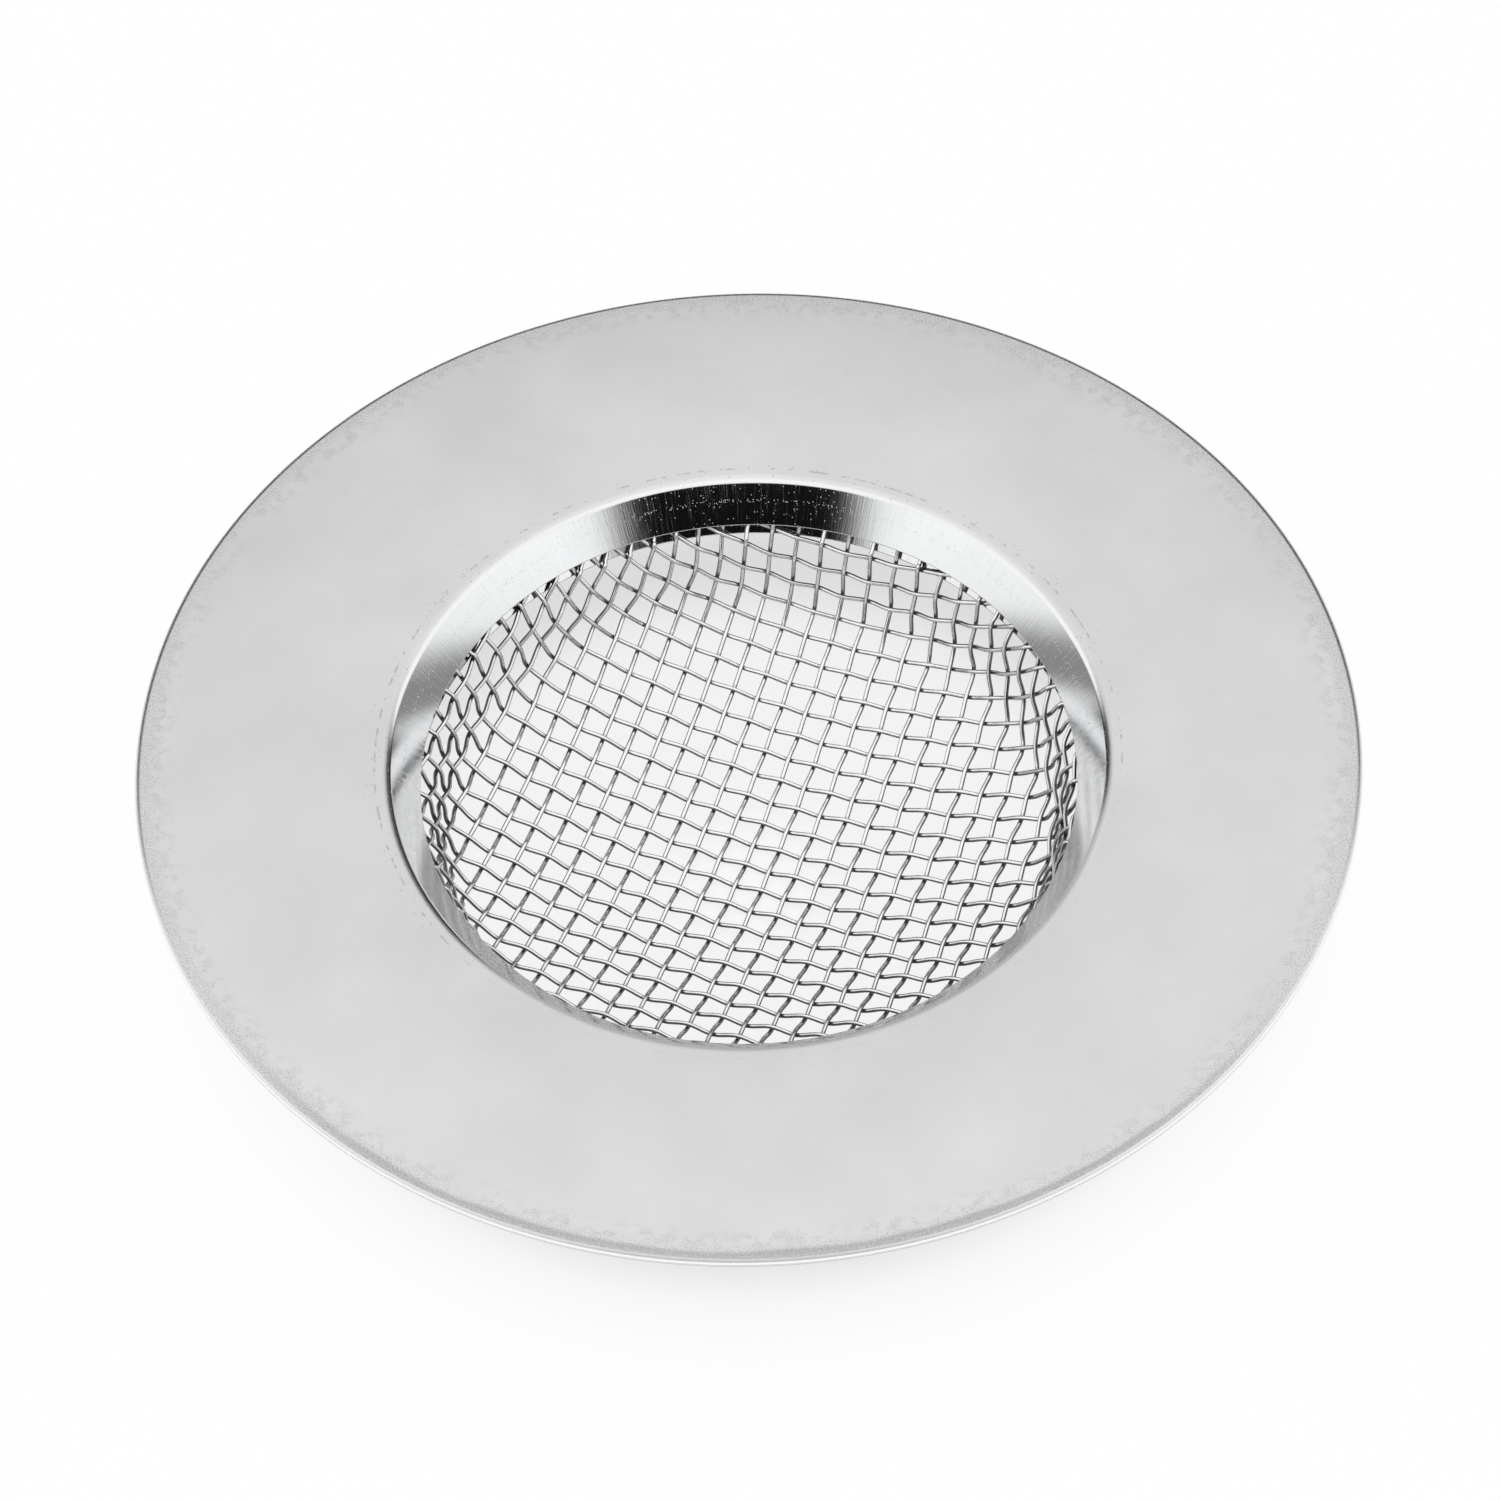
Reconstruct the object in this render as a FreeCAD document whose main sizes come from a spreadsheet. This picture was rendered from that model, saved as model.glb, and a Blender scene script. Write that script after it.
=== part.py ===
import FreeCAD, Part
import math
import os

import Sketcher

Vector = FreeCAD.Vector

# A round sink strainer: two pressed steel ring plates, rolled together at the rim, grip a woven
# wire basket between their collars. It stands on the lowest wires of the basket at z = 0, with
# its axis along Z. Pieces are drawn with the underside of the rim at zero and then raised.

# Driving dimensions in millimetres, leans and angles in degrees. Depths are below the flange's
# top, and the wire count is that of each set on one side of the basket's centre.
DIMENSIONS = (
    ("rim_diameter", 90.0),
    ("sheet_thickness", 0.35),
    ("fold_width", 3.2),
    ("lip_diameter", 53.4),
    ("lip_inner_bend", 0.2),
    ("seat_inner_bend", 0.6),
    ("collar_lean", 41.0),
    ("upper_collar_depth", 2.7),
    ("lower_collar_depth", 4.0),
    ("wall_lean", 16.5),
    ("knee_bend", 3.0),
    ("corner_bend", 3.0),
    ("dish_bend", 49.0),
    ("bowl_depth", 14.8),
    ("mesh_hem", 1.8),
    ("step_lean", 45.0),
    ("step_margin", 0.4),
    ("mesh_angle", -22.0),
    ("wire_count", 18),
    ("edge_margin", 0.92),
    ("wire_diameter", 0.33),
    ("wire_bend", 0.9),
    ("weave_clearance", 0.03),
    ("press_clearance", 0.01),
)

# A wire's bend takes at most this share of the straight run on either side of it.
BEND_SHARE = 0.45
# A wire ends at least this share of the mesh pitch past its last bend.
CUT_SHARE = 0.1
# The net's search moves by this share of the mesh pitch to feel the slope of the bowl.
PROBE_SHARE = 0.001
SEARCH_ROUNDS = 8
# A wire that turns by less than this, in radians, runs straight on.
LEAST_TURN = 0.003
QUARTER_TURN = 90
HALF_TURN = 180
FULL_TURN = 360
UPWARDS = Vector(0, 0, 1)

doc = FreeCAD.newDocument("sink_strainer")
sheet = doc.addObject("Spreadsheet::Sheet", "Sizes")
for row, (alias, value) in enumerate(DIMENSIONS, start=1):
    sheet.set(f"A{row}", alias)
    sheet.set(f"B{row}", str(value))
    sheet.setAlias(f"B{row}", alias)
doc.recompute()


def size(alias):
    """Read one driving dimension from the sheet."""
    return float(sheet.get(alias))


# Expressions that the sketches of both plates share.
RIM = "Sizes.rim_diameter / 2"
LIP = "Sizes.lip_diameter / 2"
SHEET = "Sizes.sheet_thickness"
MESH = "(2 * Sizes.wire_diameter + Sizes.weave_clearance)"
GAP = f"({MESH} + 2 * Sizes.press_clearance)"
SEAT = f"({SHEET} + Sizes.press_clearance)"
TOP = f"({SEAT} + {SEAT} + {SHEET})"
ROLL = f"({TOP} / 2)"
SIN_LEAN = "sin(Sizes.collar_lean)"
COS_LEAN = "cos(Sizes.collar_lean)"
# A bend at the lip takes this many times its radius from the straight on either side of it.
TO_CORNER = f"tan(({QUARTER_TURN} - Sizes.collar_lean) / 2)"
LIP_CORNER = f"({LIP} - (Sizes.lip_inner_bend + {SHEET}) * {TO_CORNER})"
MESH_DEPTH = f"({SEAT} + {MESH} / 2)"
MESH_BEND = f"(Sizes.lip_inner_bend + {MESH} / 2)"


def arc_middle(start, end, radius, turn):
    """Return the middle of an arc that turns left from start to end for turn 1, right for -1."""
    chord = end - start
    rise = radius - math.sqrt(max(radius**2 - chord.Length**2 / 4, 0))
    side = Vector(chord.y, -chord.x, 0).normalize()
    return (start + end) / 2 + side * (turn * rise)


def section_sketch(body, name, corners):
    """Draw a closed section on the body's XZ plane.

    Each corner is (x, z, radius, turn) in expressions. With a radius, the edge that leaves the
    corner is an arc that turns left or right, otherwise it is straight.
    """
    sketch = body.newObject("Sketcher::SketchObject", name)
    plane = next(f for f in body.Origin.OriginFeatures if f.Role == "XZ_Plane")
    sketch.AttachmentSupport = [(plane, "")]
    sketch.MapMode = "FlatFace"

    def value(text):
        return float(sketch.evalExpression(text))

    points = [Vector(value(x), value(z), 0) for x, z, _, _ in corners]
    ends = []
    for index, (_, _, radius, turn) in enumerate(corners):
        start = points[index]
        end = points[(index + 1) % len(points)]
        if radius is None:
            edge = sketch.addGeometry(Part.LineSegment(start, end))
        else:
            edge = sketch.addGeometry(Part.Arc(start, arc_middle(start, end, value(radius), turn), end))
        by_distance = sorted((1, 2), key=lambda end: sketch.getPoint(edge, end).distanceToPoint(start))
        ends.append((edge, *by_distance))
    for index, (x, z, radius, _) in enumerate(corners):
        edge, first, _ = ends[index]
        before, _, before_last = ends[index - 1]
        sketch.addConstraint(Sketcher.Constraint("Coincident", before, before_last, edge, first))
        for kind, text in (("DistanceX", x), ("DistanceY", z)):
            made = sketch.addConstraint(Sketcher.Constraint(kind, -1, 1, edge, first, value(text)))
            sketch.setExpression(f"Constraints[{made}]", text)
        if radius is not None:
            made = sketch.addConstraint(Sketcher.Constraint("Radius", edge, value(radius)))
            sketch.setExpression(f"Constraints[{made}]", radius)
    return sketch


def ring_plate(name, corners):
    """Turn a section round the Z axis into one pressed ring plate."""
    body = doc.addObject("PartDesign::Body", name)
    body.Label = name
    sketch = section_sketch(body, f"{name}_section", corners)
    turned = body.newObject("PartDesign::Revolution", f"{name}_turned")
    turned.Profile = sketch
    turned.ReferenceAxis = (sketch, ["V_Axis"])
    turned.Angle = FULL_TURN
    body.Tip = turned
    body.Placement = FreeCAD.Placement(Vector(0, 0, rim_height), FreeCAD.Rotation())
    return body


def collar(below_top, inner_bend, depth):
    """Corners of a plate from the flat before the lip, down the collar, round its cut edge and back.

    Every layer at the lip follows the same corner, below_top further in than the flange's top.
    The depth is that of the upper face's lower end.
    """
    outer_bend = f"({inner_bend} + {SHEET})"
    bend_x = f"({LIP_CORNER} + ({below_top} + {outer_bend}) * {TO_CORNER})"
    bend_z = f"({TOP} - {below_top} - {outer_bend})"
    run = f"({depth} - {below_top} - {outer_bend} + {outer_bend} * {SIN_LEAN}) / {COS_LEAN}"

    def bend_end(bend):
        return f"{bend_x} - {bend} * {COS_LEAN}", f"{bend_z} + {bend} * {SIN_LEAN}"

    def cut_end(bend):
        x, z = bend_end(bend)
        return f"{x} - {run} * {SIN_LEAN}", f"{z} - {run} * {COS_LEAN}"

    return (
        (bend_x, f"{bend_z} + {outer_bend}", outer_bend, 1),
        (*bend_end(outer_bend), None, 0),
        (*cut_end(outer_bend), None, 0),
        (*cut_end(inner_bend), None, 0),
        (*bend_end(inner_bend), inner_bend, -1),
        (bend_x, f"{bend_z} + {inner_bend}", None, 0),
    )


def top_plate():
    """The plate that shows: flat flange, polished collar and the rim rolled under the other plate."""
    inner_roll = f"({ROLL} - {SHEET})"
    roll_start = f"{RIM} - {ROLL}"
    fold = f"{RIM} - Sizes.fold_width"
    return ring_plate("top_plate", (
        (fold, "0", None, 0),
        (roll_start, "0", ROLL, 1),
        (RIM, ROLL, ROLL, 1),
        (roll_start, TOP, None, 0),
        *collar("0", "Sizes.lip_inner_bend", "Sizes.upper_collar_depth"),
        (roll_start, f"{TOP} - {SHEET}", inner_roll, -1),
        (f"{RIM} - {SHEET}", ROLL, inner_roll, -1),
        (roll_start, SHEET, None, 0),
        (fold, SHEET, None, 0),
    ))


def bottom_plate():
    """The plate below: held at its edge by the rolled rim, and stepped down to make room for the mesh."""
    edge = f"{RIM} - {ROLL}"
    drop = f"({GAP} - Sizes.press_clearance)"
    mesh_start = f"({LIP_CORNER} + ({MESH_DEPTH} + {MESH_BEND}) * {TO_CORNER})"
    step_in = f"({mesh_start} + Sizes.mesh_hem + Sizes.step_margin)"
    step_out = f"({step_in} + {drop} / tan(Sizes.step_lean))"
    below = f"{SHEET} * tan(Sizes.step_lean / 2)"
    return ring_plate("bottom_plate", (
        (edge, SEAT, None, 0),
        (edge, f"{SEAT} + {SHEET}", None, 0),
        (step_out, f"{SEAT} + {SHEET}", None, 0),
        (step_in, f"{SEAT} + {SHEET} - {drop}", None, 0),
        *collar(f"({SHEET} + {GAP})", "Sizes.seat_inner_bend", "Sizes.lower_collar_depth"),
        (f"{step_in} + {below}", f"{SEAT} - {drop}", None, 0),
        (f"{step_out} + {below}", SEAT, None, 0),
    ))


# Sizes that the mesh works with.
sheet_thickness = size("sheet_thickness")
press_clearance = size("press_clearance")
wire_radius = size("wire_diameter") / 2
crimp = wire_radius + size("weave_clearance") / 2
mesh_thickness = 2 * (wire_radius + crimp)
flange_top = 3 * sheet_thickness + 2 * press_clearance


def bowl_runs():
    """Runs of the mesh's middle surface from the bowl's centre outwards, as (length, curvature).

    Dish, corner, wall, knee below the collars, collar, lip, and the flat between the plates. The
    knee starts where the lower collar ends.
    """
    collar_lean = math.radians(size("collar_lean"))
    wall_lean = math.radians(size("wall_lean"))
    dish = size("dish_bend")
    corner = size("corner_bend")
    knee = size("knee_bend")
    lip = size("lip_inner_bend") + mesh_thickness / 2
    to_corner = math.tan((math.pi / 2 - collar_lean) / 2)
    down_wall = Vector(-math.sin(wall_lean), 0, -math.cos(wall_lean))
    into_bowl = Vector(-math.cos(wall_lean), 0, math.sin(wall_lean))
    down_collar = Vector(-math.sin(collar_lean), 0, -math.cos(collar_lean))
    lip_corner = size("lip_diameter") / 2 - (size("lip_inner_bend") + sheet_thickness) * to_corner

    def layer_corner(below_top):
        return Vector(lip_corner + below_top * to_corner, 0, flange_top - below_top)

    mesh_corner = layer_corner(sheet_thickness + press_clearance + mesh_thickness / 2)
    seat_depth = sheet_thickness + mesh_thickness + 2 * press_clearance
    seat_run = (size("lower_collar_depth") - seat_depth) / math.cos(collar_lean)
    seat_end = layer_corner(seat_depth) + down_collar * seat_run
    collar_run = (seat_end - mesh_corner).dot(down_collar)
    knee_turn = collar_lean - wall_lean
    knee_tangent = knee * math.tan(knee_turn / 2)
    knee_corner = mesh_corner + down_collar * (collar_run + knee_tangent)
    dish_centre = Vector(0, 0, flange_top - size("bowl_depth") + dish)
    offset = knee_corner + into_bowl * corner - dish_centre
    along = offset.dot(down_wall)
    wall_run = -along + math.sqrt(along**2 - offset.dot(offset) + (dish - corner) ** 2)
    from_centre = offset + down_wall * wall_run
    dish_turn = math.atan2(from_centre.x, -from_centre.z)
    corner_turn = math.pi / 2 - wall_lean - dish_turn
    return (
        (dish * dish_turn, 1 / dish),
        (corner * corner_turn, 1 / corner),
        (wall_run - knee_tangent, 0),
        (knee * knee_turn, -1 / knee),
        (collar_run - lip * to_corner, 0),
        (lip * (math.pi / 2 - collar_lean), -1 / lip),
        (math.inf, 0),
    )


runs = bowl_runs()
gripped_from = sum(length for length, _ in runs[:4])
mesh_reach = sum(length for length, _ in runs[:6]) + size("mesh_hem")
# The first wires lie half a pitch from the centre, the last ones by the cut edge of the mesh.
wire_count = int(size("wire_count"))
half_pitch = (mesh_reach - size("edge_margin")) / (2 * wire_count - 1)
pitch = 2 * half_pitch


def bowl_section(distance):
    """Radius, height and slope of the mesh's middle surface at a distance along it from the centre."""
    radius, height, slope = 0, flange_top - size("bowl_depth"), 0
    for length, curvature in runs:
        step = min(length, distance)
        if curvature:
            ahead = slope + curvature * step
            radius += (math.sin(ahead) - math.sin(slope)) / curvature
            height += (math.cos(slope) - math.cos(ahead)) / curvature
            slope = ahead
        else:
            radius += step * math.cos(slope)
            height += step * math.sin(slope)
        distance -= step
        if distance <= 0:
            break
    return radius, height, slope


def on_bowl(across, along, raised=0):
    """Lay a point of the flat blank on the bowl, raised off the middle surface along its normal."""
    distance = math.hypot(across, along)
    radius, height, slope = bowl_section(distance)
    radius -= raised * math.sin(slope)
    return Vector(
        radius * across / distance,
        radius * along / distance,
        height + raised * math.cos(slope),
    )


def next_knot(beside, below, behind):
    """Find the blank point that lies half a pitch on the bowl from both of its neighbours."""
    across = beside[0] + below[0] - behind[0]
    along = beside[1] + below[1] - behind[1]
    probe = pitch * PROBE_SHARE
    for _ in range(SEARCH_ROUNDS):
        here = on_bowl(across, along)
        by_across = (on_bowl(across + probe, along) - here) / probe
        by_along = (on_bowl(across, along + probe) - here) / probe
        left = here - on_bowl(*beside)
        back = here - on_bowl(*below)
        left_miss = (left.dot(left) - half_pitch**2) / 2
        back_miss = (back.dot(back) - half_pitch**2) / 2
        left_across, left_along = left.dot(by_across), left.dot(by_along)
        back_across, back_along = back.dot(by_across), back.dot(by_along)
        scale = left_across * back_along - left_along * back_across
        across -= (left_miss * back_along - back_miss * left_along) / scale
        along -= (back_miss * left_across - left_miss * back_across) / scale
    return across, along


def drape():
    """Drape a square net over a quarter of the bowl, knot by knot, every side half a pitch long."""
    count = math.ceil(mesh_reach / half_pitch) + 1
    net = {}
    for step in range(1, count + 1):
        net[step, 0] = (step * half_pitch, 0)
        net[0, step] = (0, step * half_pitch)
    net[1, 1] = next_knot(net[0, 1], net[1, 0], (0, 0))
    for i in range(1, count + 1):
        for j in range(1, count + 1):
            around = [net.get(knot) for knot in ((i - 1, j), (i, j - 1), (i - 1, j - 1))]
            if (i, j) not in net and None not in around:
                knot = next_knot(*around)
                if math.hypot(*knot) < mesh_reach + pitch:
                    net[i, j] = knot
    return net


net = drape()
# The basket stands on the four crossings around its centre.
rim_height = wire_radius - on_bowl(*net[1, 1], -crimp).z


def wire_course(line, over):
    """Points of one wire: (across, along, raised) on the blank, from edge to edge of the mesh.

    The wire keeps to one odd line of the net and crosses the odd lines of the other set, over
    and under in turn. Where the plates grip it, it has closer points so that it follows the bend.
    """
    last = max(j for i, j in net if i == line)
    course = []
    for j in range(-last, last + 1):
        if (line, abs(j)) not in net:
            continue
        across, along = net[line, abs(j)]
        crossing = j % 2
        sign = (-1) ** ((line // 2) + (j // 2))
        course.append((across, math.copysign(along, j), crossing * sign * over * crimp, crossing))
    closer = course[:1]
    for before, after in zip(course, course[1:]):
        middle = [(p + q) / 2 for p, q in zip(before[:3], after[:3])]
        closer += [(*middle, 0), after]

    def distance(point):
        return math.hypot(point[0], point[1])

    def cut_point(near, far):
        share = (mesh_reach - distance(near)) / (distance(far) - distance(near))
        least_share = pitch * CUT_SHARE / math.dist(near[:2], far[:2])
        return tuple(p + (q - p) * max(share, least_share) for p, q in zip(near[:3], far[:3]))

    inside = [k for k, point in enumerate(closer) if distance(point) < mesh_reach]
    kept = [closer[k] for k in inside if closer[k][3] or distance(closer[k]) > gripped_from]
    first_cut = cut_point(closer[inside[0]], closer[inside[0] - 1])
    last_cut = cut_point(closer[inside[-1]], closer[inside[-1] + 1])
    return [first_cut, *(point[:3] for point in kept), last_cut]


def turn_at(before, corner, after):
    """Angle by which a wire turns at a corner."""
    return (corner - before).getAngle(after - corner)


def bend_at(before, corner, after):
    """Directions, turn and bend radius at one corner of a wire."""
    ahead = (corner - before).normalize()
    onward = (after - corner).normalize()
    turn = turn_at(before, corner, after)
    room = BEND_SHARE * min((corner - before).Length, (after - corner).Length)
    return ahead, onward, turn, min(size("wire_bend"), room / math.tan(turn / 2))


def bent_wire(points):
    """Sweep a round wire along straight runs with a bend at each point, which it passes through."""
    turning = [k for k in range(1, len(points) - 1) if turn_at(*points[k - 1:k + 2]) > LEAST_TURN]
    points = [points[k] for k in (0, *turning, -1)]
    corners = list(points)
    for k in range(1, len(points) - 1):
        ahead, onward, turn, bend = bend_at(*points[k - 1:k + 2])
        outwards = (ahead - onward).normalize()
        corners[k] = points[k] + outwards * (bend / math.cos(turn / 2) - bend)
    start_direction = corners[1] - corners[0]
    ring = Part.Circle(corners[0], start_direction, wire_radius).toShape()
    faces = [Part.Face(Part.Wire(ring))]
    here = corners[0]
    for k in range(1, len(corners) - 1):
        ahead, onward, turn, bend = bend_at(*corners[k - 1:k + 2])
        tangent = bend * math.tan(turn / 2)
        run = corners[k] - ahead * tangent - here
        faces.append(ring.extrude(run))
        ring.translate(run)
        inwards = (onward - ahead).normalize()
        centre = corners[k] + inwards * (bend / math.cos(turn / 2))
        axis = ahead.cross(onward)
        faces.append(ring.revolve(centre, axis, math.degrees(turn)))
        ring.rotate(centre, axis, math.degrees(turn))
        here = corners[k] + onward * tangent
    run = corners[-1] - here
    faces.append(ring.extrude(run))
    ring.translate(run)
    faces.append(Part.Face(Part.Wire(ring)))
    wire = Part.makeCompound(faces)
    wire.sewShape()
    return Part.makeSolid(wire)


def wire_pair(name, line, over, swap):
    """One wire and its twin on the far side of the centre, which is the same wire turned half round."""
    points = []
    for across, along, raised in wire_course(line, over):
        points.append(on_bowl(along, across, raised) if swap else on_bowl(across, along, raised))
    wire = bent_wire(points)
    twin = wire.copy()
    twin.rotate(Vector(), UPWARDS, HALF_TURN)
    pair = doc.addObject("Part::Feature", name)
    pair.Label = name
    pair.Shape = Part.makeCompound([wire, twin])
    turn = FreeCAD.Rotation(UPWARDS, size("mesh_angle"))
    pair.Placement = FreeCAD.Placement(Vector(0, 0, rim_height), turn)
    return pair


nodes = [top_plate(), bottom_plate()]
for number in range(1, wire_count + 1):
    line = 2 * number - 1
    nodes.append(wire_pair(f"warp_wires_{number:02d}", line, 1, False))
    nodes.append(wire_pair(f"weft_wires_{number:02d}", line, -1, True))
doc.recompute()

for item in doc.Objects:
    if "Invalid" in item.State or "Error" in item.State:
        raise RuntimeError(f"{item.Label} did not build")
os.makedirs("parts", exist_ok=True)
for node in nodes:
    if node.Shape.isNull() or not node.Shape.isValid():
        raise RuntimeError(f"{node.Label} has no valid shape")
    node.Shape.exportStep(os.path.join("parts", f"{node.Label}.step"))
print(len(nodes), "nodes,", sum(len(node.Shape.Solids) for node in nodes), "solids")
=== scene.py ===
# %% [markdown]
# # A sink strainer of pressed steel and woven wire
#
# The real strainer has three kinds of pieces: a pressed top plate with a satin flange and a polished
# collar, a second plate below it, and a basket of woven wires that the two collars grip. The CAD
# frame gives their places and sizes. This lesson dresses them: it turns the plates on a fine lathe,
# weaves the wires as smooth round rods, and gives each of them its steel.

# %% Load the frame
import math

import bpy
import numpy as np
from mathutils import Matrix, Vector


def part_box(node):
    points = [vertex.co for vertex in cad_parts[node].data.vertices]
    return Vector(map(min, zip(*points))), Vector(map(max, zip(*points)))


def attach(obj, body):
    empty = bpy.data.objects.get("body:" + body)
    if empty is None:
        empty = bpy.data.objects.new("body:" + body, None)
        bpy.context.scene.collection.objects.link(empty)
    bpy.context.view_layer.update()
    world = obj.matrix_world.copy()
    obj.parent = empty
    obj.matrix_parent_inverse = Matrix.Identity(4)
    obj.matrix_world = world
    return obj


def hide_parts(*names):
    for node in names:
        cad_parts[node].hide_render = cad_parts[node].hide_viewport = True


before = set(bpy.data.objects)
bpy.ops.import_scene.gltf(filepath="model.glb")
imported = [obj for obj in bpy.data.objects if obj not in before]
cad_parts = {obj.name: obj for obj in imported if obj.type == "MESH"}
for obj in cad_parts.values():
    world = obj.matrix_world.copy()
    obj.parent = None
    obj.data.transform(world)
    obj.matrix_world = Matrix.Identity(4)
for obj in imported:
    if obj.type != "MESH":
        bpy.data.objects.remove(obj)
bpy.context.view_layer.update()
MM = 0.001
plate_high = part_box("top_plate")[1]
FLANGE_TOP = plate_high[2]
RIM_RADIUS = plate_high[0]
print("flange top at", round(FLANGE_TOP / MM, 3), "mm, rim radius", round(RIM_RADIUS / MM, 3), "mm")

# %% [markdown]
# ## The camera
#
# The photograph looks down at the strainer from the front, through a long lens, so that the round
# rim turns into an ellipse with little perspective. The camera could be placed by eye. Here it is
# placed by four measures of that ellipse: how high the eye is, how far off, how long the lens is
# and how far the frame is turned. It aims at a point just beside the centre of the flange.

# %% Camera
CAMERA_ELEVATION = math.radians(51.97)
CAMERA_ROLL = math.radians(-2.25)
CAMERA_DISTANCE = 686 * MM
CAMERA_CLIP = 1 * MM
AIM_RIGHT = 0.154 * MM
AIM_UP = 0.454 * MM
# Blender counts a lens in millimetres.
CAMERA_LENS = 224.87

towards_camera = Vector((0, -math.cos(CAMERA_ELEVATION), math.sin(CAMERA_ELEVATION)))
tilted = Matrix.Rotation(math.pi / 2 - CAMERA_ELEVATION, 4, "X")
turn_down = tilted @ Matrix.Rotation(CAMERA_ROLL, 4, "Z")
camera_data = bpy.data.cameras.new("camera")
camera_data.lens = CAMERA_LENS
camera_data.clip_start = CAMERA_CLIP
camera = bpy.data.objects.new("camera", camera_data)
bpy.context.collection.objects.link(camera)
flange_centre = Vector((0, 0, FLANGE_TOP))
aim = flange_centre + turn_down.to_3x3() @ Vector((AIM_RIGHT, AIM_UP, 0))
camera.matrix_world = Matrix.Translation(aim + towards_camera * CAMERA_DISTANCE) @ turn_down
bpy.context.scene.camera = camera
print("camera", [round(c, 4) for c in camera.matrix_world.translation])

# %% [markdown]
# ## Nodes in a script
#
# The world, the materials and Geometry Nodes are all trees of nodes. They could be clicked together
# in Blender's editors, but in a script every value has a name and can be changed in one place. The
# helpers here add a node with its inputs, do one step of arithmetic, and draw a soft step.


# %% Node helpers
def add_node(tree, kind, inputs=None, **settings):
    """Add a node with its settings. Inputs, by number or name, take a socket to link or a value."""
    node = tree.nodes.new(kind)
    for name, value in settings.items():
        setattr(node, name, value)
    for key, value in (inputs or {}).items():
        if isinstance(value, bpy.types.NodeSocket):
            tree.links.new(value, node.inputs[key])
        else:
            node.inputs[key].default_value = value
    return node


def calculate(tree, operation, *values):
    """Join values or sockets by one step of arithmetic and return the result's socket."""
    return add_node(tree, "ShaderNodeMath", dict(enumerate(values)), operation=operation).outputs[0]


def product(tree, first, *others):
    """Multiply two or more values or sockets."""
    for other in others:
        first = calculate(tree, "MULTIPLY", first, other)
    return first


def soft_step(tree, value, edges, before=0.0, after=1.0):
    """A value that goes softly from before to after while a socket passes from edge to edge."""
    inputs = {0: value, 1: edges[0], 2: edges[1], 3: before, 4: after}
    return add_node(tree, "ShaderNodeMapRange", inputs, interpolation_type="SMOOTHSTEP").outputs[0]


def mixed(tree, factor, low, high):
    """Blend two values or sockets by a factor."""
    return add_node(tree, "ShaderNodeMix", {0: factor, 2: low, 3: high}, data_type="FLOAT").outputs[0]


print("node helpers:", ", ".join(f.__name__ for f in (add_node, calculate, product, soft_step, mixed)))

# %% [markdown]
# ## The studio
#
# Polished steel has no colour of its own: it shows the room. Lamps and cards could stand round the
# strainer, as in a real studio. Here the room is drawn in the world shader by direction, because
# then every band in the steel has one value to tune. The light is strongest overhead. Below it lies
# a grey low room with a bright line at the horizon: these draw the grey and white bands on both
# sides of the collar. Wide panels lift the light at both sides. The photographer's side is dark,
# which turns the back of the collar black, and the low back is dim, which gives the wires dark sides.

# %% World light
# Strengths of light, and edges of soft steps along one part of the direction, which has length 1.
ZENITH_LIGHT = 1.35
HORIZON_LIGHT = 1.0
LOW_LIGHT = 0.29
LOW_EDGES = (0.16, 0.28)
HORIZON_GLOW = 0.80
HORIZON_EDGES = (0.06, 0.10)

bpy.context.scene.view_settings.view_transform = "Standard"
world = bpy.data.worlds.new("studio")
bpy.context.scene.world = world
world.use_nodes = True
room = world.node_tree
room.nodes.clear()
direction = add_node(room, "ShaderNodeTexCoord").outputs["Generated"]
east, north, up = add_node(room, "ShaderNodeSeparateXYZ", {0: direction}).outputs
sky = soft_step(room, up, (0.0, 1.0), HORIZON_LIGHT, ZENITH_LIGHT)
low_room = calculate(
    room, "MAXIMUM",
    soft_step(room, up, LOW_EDGES, LOW_LIGHT, 1.0),
    soft_step(room, up, HORIZON_EDGES, HORIZON_GLOW, 0.0),
)
print("light from", LOW_LIGHT, "in the low room to", ZENITH_LIGHT, "overhead")

# %% Panels, the dark side and the dim back
SIDE_LIGHT = 1.15
SIDE_EDGES = (0.45, 0.80)
SIDE_TOP = (0.45, 0.75)
DARK_SIDE_LIGHT = 0.006
DARK_SIDE_EDGES = (0.70, 0.92)
DARK_SIDE_BOTTOM = (0.22, 0.38)
DARK_SIDE_TOP = (0.56, 0.70)
BACK_LIGHT = 0.10
BACK_EDGES = (0.40, 0.60)
BACK_TOP = (0.52, 0.77)


def patch(inside, top, kept):
    """Light kept in a low part of the room: all of it outside, the kept share well inside."""
    low = soft_step(room, up, top, 1.0, 0.0)
    return soft_step(room, product(room, inside, low), (0.0, 1.0), 1.0, kept)


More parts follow.
